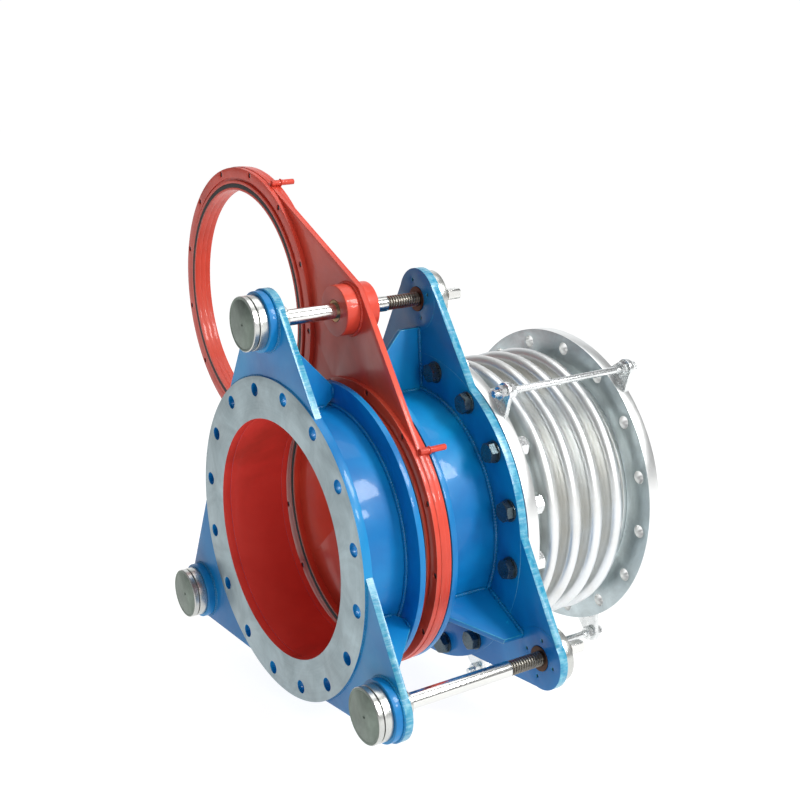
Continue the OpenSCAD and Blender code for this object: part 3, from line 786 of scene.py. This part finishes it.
# ---------------------------------------------------------------- flange joint
add("gasket_look", turned_ring("gasket", BORE_R, 0.234, REAR_PLATE[1], 0.307, 0.0003), "rear_body", [GASKET],
    nodes=["flange_gasket"])
M20_R, M20_ACROSS = 0.00995, 0.030
stud = [thread(M20_R, 0.0086, 0.0025, 0.318, 0.356, 40, 8, chamfer=0.0018), rod_part(M20_R, 0.287, 0.3182)]
head = hexagon(0.2745, 0.287, M20_ACROSS, both_ends=False)
nut = hexagon(0.332, 0.350, M20_ACROSS, M20_R, hole_cham=0.0012)
washer = lathe_part(box_profile(0.01, 0.0185, 0.0, 0.003, 0.0005), 48)
bolts, washers, nuts, back_washers = [], [], [], []
for k in range(16):
    a = 22.5 * (k + 0.5)
    c = polar(BOLT_R, a)
    beside_gusset = min(abs((a - g + 540) % 360 - 180) for g in AXES.values()) < 5
    spin = noise.noise(Vector((a, 1.7, 0.2))) * 3
    for part in stud if beside_gusset else [head, *stud]:
        bolts.append(placed(part, c, spin))
    nuts.append(placed(nut, c, spin * 1.7 + 0.3))
    back_washers.append(placed(washer, c + Vector((0, 0.329, 0))))
    if not beside_gusset:
        washers.append(placed(washer, c + Vector((0, 0.287, 0))))
add("bolts_look", merged_mesh("bolts", bolts), "rear_body", [BLACK], 30, nodes=["flange_bolts"])
add("nuts_look", merged_mesh("nuts", nuts), "rear_body", [ZINC], 30, nodes=["flange_nuts"])
add("washers_look", merged_mesh("washers", washers), "rear_body", [BLACK], 30, nodes=["head_washers"])
add("back_washers_look", merged_mesh("back_washers", back_washers), "rear_body", [ZINC], 30,
    nodes=["nut_washers"])

# ---------------------------------------------------------------- bellows unit
PITCH, HALF_WALL, FIRST_CREST, WAVES = 0.046, 0.0008, 0.388, 4


def bellows_mesh(steps=12):
    """Thin wall of the bellows: necks, the crests and the valleys between them, as one closed outline."""
    arc = PITCH / 4
    crest_c, valley_c = CREST_R - HALF_WALL - arc, NECK_R - HALF_WALL + arc
    line = [(NECK_R - HALF_WALL, 0.3292)]

    def sweep(c, y, sign, a0, a1, n):
        for k in range(n + 1):
            u = math.radians(a0 + (a1 - a0) * k / n)
            line.append((c + sign * arc * math.cos(u), y + arc * math.sin(u)))

    sweep(valley_c, FIRST_CREST - PITCH / 2, -1, 0, 90, steps)
    for i in range(WAVES):
        y = FIRST_CREST + i * PITCH
        sweep(crest_c, y, 1, -90, 90, 2 * steps)
        if i < WAVES - 1:
            sweep(valley_c, y + PITCH / 2, -1, -90, 90, 2 * steps)
    sweep(valley_c, FIRST_CREST + (WAVES - 0.5) * PITCH, -1, -90, 0, steps)
    line.append((NECK_R - HALF_WALL, 0.5659))
    p = np.array(line)
    d = np.gradient(p, axis=0)
    nrm = np.stack([d[:, 1], -d[:, 0]], 1)
    nrm /= np.linalg.norm(nrm, axis=1)[:, None]
    outer, inner = p + nrm * HALF_WALL, p - nrm * HALF_WALL
    me = lathe_mesh("bellows", [tuple(x) for x in outer] + [tuple(x) for x in inner[::-1]], 256)
    for v in me.vertices:
        k = noise.noise(Vector((v.co.x * 9, v.co.y * 14, v.co.z * 9)))
        grow = 1 + 0.0005 * k / math.hypot(v.co.x, v.co.z)
        v.co.x *= grow
        v.co.z *= grow
    return me


add("bellows_flange_look", cad_copy("bellows_inlet_flange", 0.001, plate_pick), "rear_body",
    [PLATE, PLATE_RIM, LINER], nodes=["bellows_inlet_flange"])
add("outlet_flange_look", cad_copy("outlet_flange", 0.001, plate_pick), "outlet_body",
    [PLATE, PLATE_RIM, LINER], nodes=["outlet_flange"])
add("inlet_lugs_look", cad_copy("bellows_inlet_lugs", 0.0012), "rear_body", [ZINC],
    nodes=["bellows_inlet_lugs"])
add("outlet_lugs_look", cad_copy("outlet_lugs", 0.0012), "outlet_body", [ZINC], nodes=["outlet_lugs"])
add("bellows_look", bellows_mesh(), "rear_body", [BELLOWS], 60, nodes=["bellows_convolutions"],
    bend=("outlet_body", (0, 0.366, 0), (0, 0.548, 0)))
neck_bead = bead(circle_path(0.2092, 0.3302), 0.0024, True, 8, 0.14, 0.004, 11.0)
add("bellows_bead", merged_mesh("bellows_bead", [neck_bead]), "rear_body", [BELLOWS], 60)
add("collar_look", turned_ring("outlet_collar", NECK_R, NECK_R + 0.0045, 0.559, 0.566), "outlet_body",
    [PLATE_RIM], nodes=["outlet_collar"])

ROD_ANGLES = [49.5, -70.5, 169.5]
M12_R, M12_ROOT, M12_PITCH = 0.006, 0.0052, 0.00175
rod_parts = [thread(M12_R, M12_ROOT, M12_PITCH, 0.300, 0.346, 20, 6),
             thread(M12_R, M12_ROOT, M12_PITCH, 0.556, 0.602, 20, 6, chamfer=0.0012),
             rod_part(M12_R, 0.345, 0.557, 0.0004)]


def rod_nut(y):
    return hexagon(y, y + 0.011, 0.021, M12_R, 48, 0.0008)


rods, fixed, inner = [], [], []
for a in ROD_ANGLES:
    c = polar(ROD_R, a)
    rods += [placed(part, c) for part in rod_parts]
    fixed += [placed(rod_nut(y), c, 0.4 * i + math.radians(a)) for i, y in enumerate((0.310, 0.329, 0.5853))]
    inner.append(placed(rod_nut(0.566), c, 0.9 + math.radians(a)))
add("rods_look", merged_mesh("rods", rods), "rear_body", [ZINC], 40, nodes=["tie_rods"])
add("rod_nuts_look", merged_mesh("rod_nuts", fixed), "rear_body", [ZINC], 30, nodes=["tie_rod_nuts"])
add("inner_nuts_look", merged_mesh("inner_nuts", inner), "outlet_body", [ZINC], 30,
    nodes=["outlet_inner_nuts"])
for name, y, body in (("lug_beads", 0.3213, "rear_body"), ("outlet_lug_beads", 0.5772, "outlet_body")):
    seams = [(circle_path(RIM_R + 0.0005, y, a - s * 0.5, a - s * 6.2), a + s)
             for a in ROD_ANGLES for s in (-1, 1)]
    parts = [bead(path, 0.0016, False, 6, 0.3, 0.005, seed) for path, seed in seams]
    add(name, merged_mesh(name, parts), body, [ZINC], 60)

# ---------------------------------------------------------------- stage, light, camera
floor_mat = Mat("floor_paper", (0.3, 0.3, 0.3), 0.95, specular_ior_level=0.0)
floor_mat.b.inputs["Emission Color"].default_value = (1, 1, 1, 1)
floor_mat.b.inputs["Emission Strength"].default_value = 0.9
floor_mat.bump(floor_mat.noise(40, 3), 0.02, 0.002)
fm = bpy.data.meshes.new("floor")
fm.from_pydata([(-40, -40, 0), (40, -40, 0), (40, 40, 0), (-40, 40, 0)], [], [(0, 1, 2, 3)])
fm.materials.append(floor_mat.m)
floor = bpy.data.objects.new("floor", fm)
floor.location = (0, 0, cad_box[0][2] - 0.002)
bpy.context.scene.collection.objects.link(floor)

# a white wall behind the part and a pale ceiling, with the rest of the room left dimmer
world = bpy.data.worlds.new("soft_room")
bpy.context.scene.world = world
world.use_nodes = True
wt = world.node_tree
sky = wt.nodes["Background"]
where = wt.nodes.new("ShaderNodeTexCoord").outputs["Generated"]


def lobe(direction, lo, hi):
    dot = wt.nodes.new("ShaderNodeVectorMath")
    dot.operation = "DOT_PRODUCT"
    dot.inputs[1].default_value = direction
    wt.links.new(where, dot.inputs[0])
    soft = wt.nodes.new("ShaderNodeMapRange")
    soft.interpolation_type = "SMOOTHSTEP"
    soft.inputs["From Min"].default_value = lo
    soft.inputs["From Max"].default_value = hi
    wt.links.new(dot.outputs["Value"], soft.inputs[0])
    return soft.outputs[0]


most = wt.nodes.new("ShaderNodeMath")
most.operation = "MAXIMUM"
wt.links.new(lobe((-0.845, 0.535, 0), 0.62, 0.86), most.inputs[0])
wt.links.new(lobe((0, 0, 1), 0.6, 1.6), most.inputs[1])
level = wt.nodes.new("ShaderNodeMapRange")
level.inputs["To Min"].default_value = 0.22
level.inputs["To Max"].default_value = 1.05
wt.links.new(most.outputs[0], level.inputs[0])
wt.links.new(level.outputs[0], sky.inputs["Strength"])
sky.inputs["Color"].default_value = (0.97, 0.985, 1, 1)


def area(name, at, power, width, height):
    """A soft panel that looks at the middle of the valve."""
    d = bpy.data.lights.new(name, "AREA")
    d.energy = power
    d.shape = "RECTANGLE"
    d.size = width
    d.size_y = height
    o = bpy.data.objects.new(name, d)
    o.location = at
    o.rotation_euler = (Vector((0, 0.25, 0.05)) - Vector(at)).to_track_quat("-Z", "Y").to_euler()
    bpy.context.scene.collection.objects.link(o)


area("window_a", (2.35, 1.75, 2.35), 70, 0.8, 1.0)
area("window_b", (3.0, 1.5, 1.35), 16, 0.35, 0.4)
area("right_soft", (3.4, 0.1, 1.2), 34, 1.6, 1.6)
area("overhead", (-0.2, 0.9, 3.2), 30, 2.2, 2.2)

cam = bpy.data.cameras.new("photo_view")
cam.lens = 61.735
cam.sensor_width = 36
cam.clip_start = 0.05
cam.clip_end = 200
eye = bpy.data.objects.new("photo_view", cam)
bpy.context.scene.collection.objects.link(eye)
az, el, roll = (math.radians(v) for v in (57.414, 13.409, -2.444))
back = Vector((math.sin(az) * math.cos(el), -math.cos(az) * math.cos(el), math.sin(el)))
level_right = Vector((math.cos(az), math.sin(az), 0))
level_up = back.cross(level_right)
right = level_right * math.cos(roll) + level_up * math.sin(roll)
up = level_up * math.cos(roll) - level_right * math.sin(roll)
pose = Matrix((right, up, back)).transposed().to_4x4()
pose.translation = Vector((1.9050, -0.9695, 0.7319))
eye.matrix_world = pose
bpy.context.scene.camera = eye
bpy.context.scene.view_settings.view_transform = "Standard"
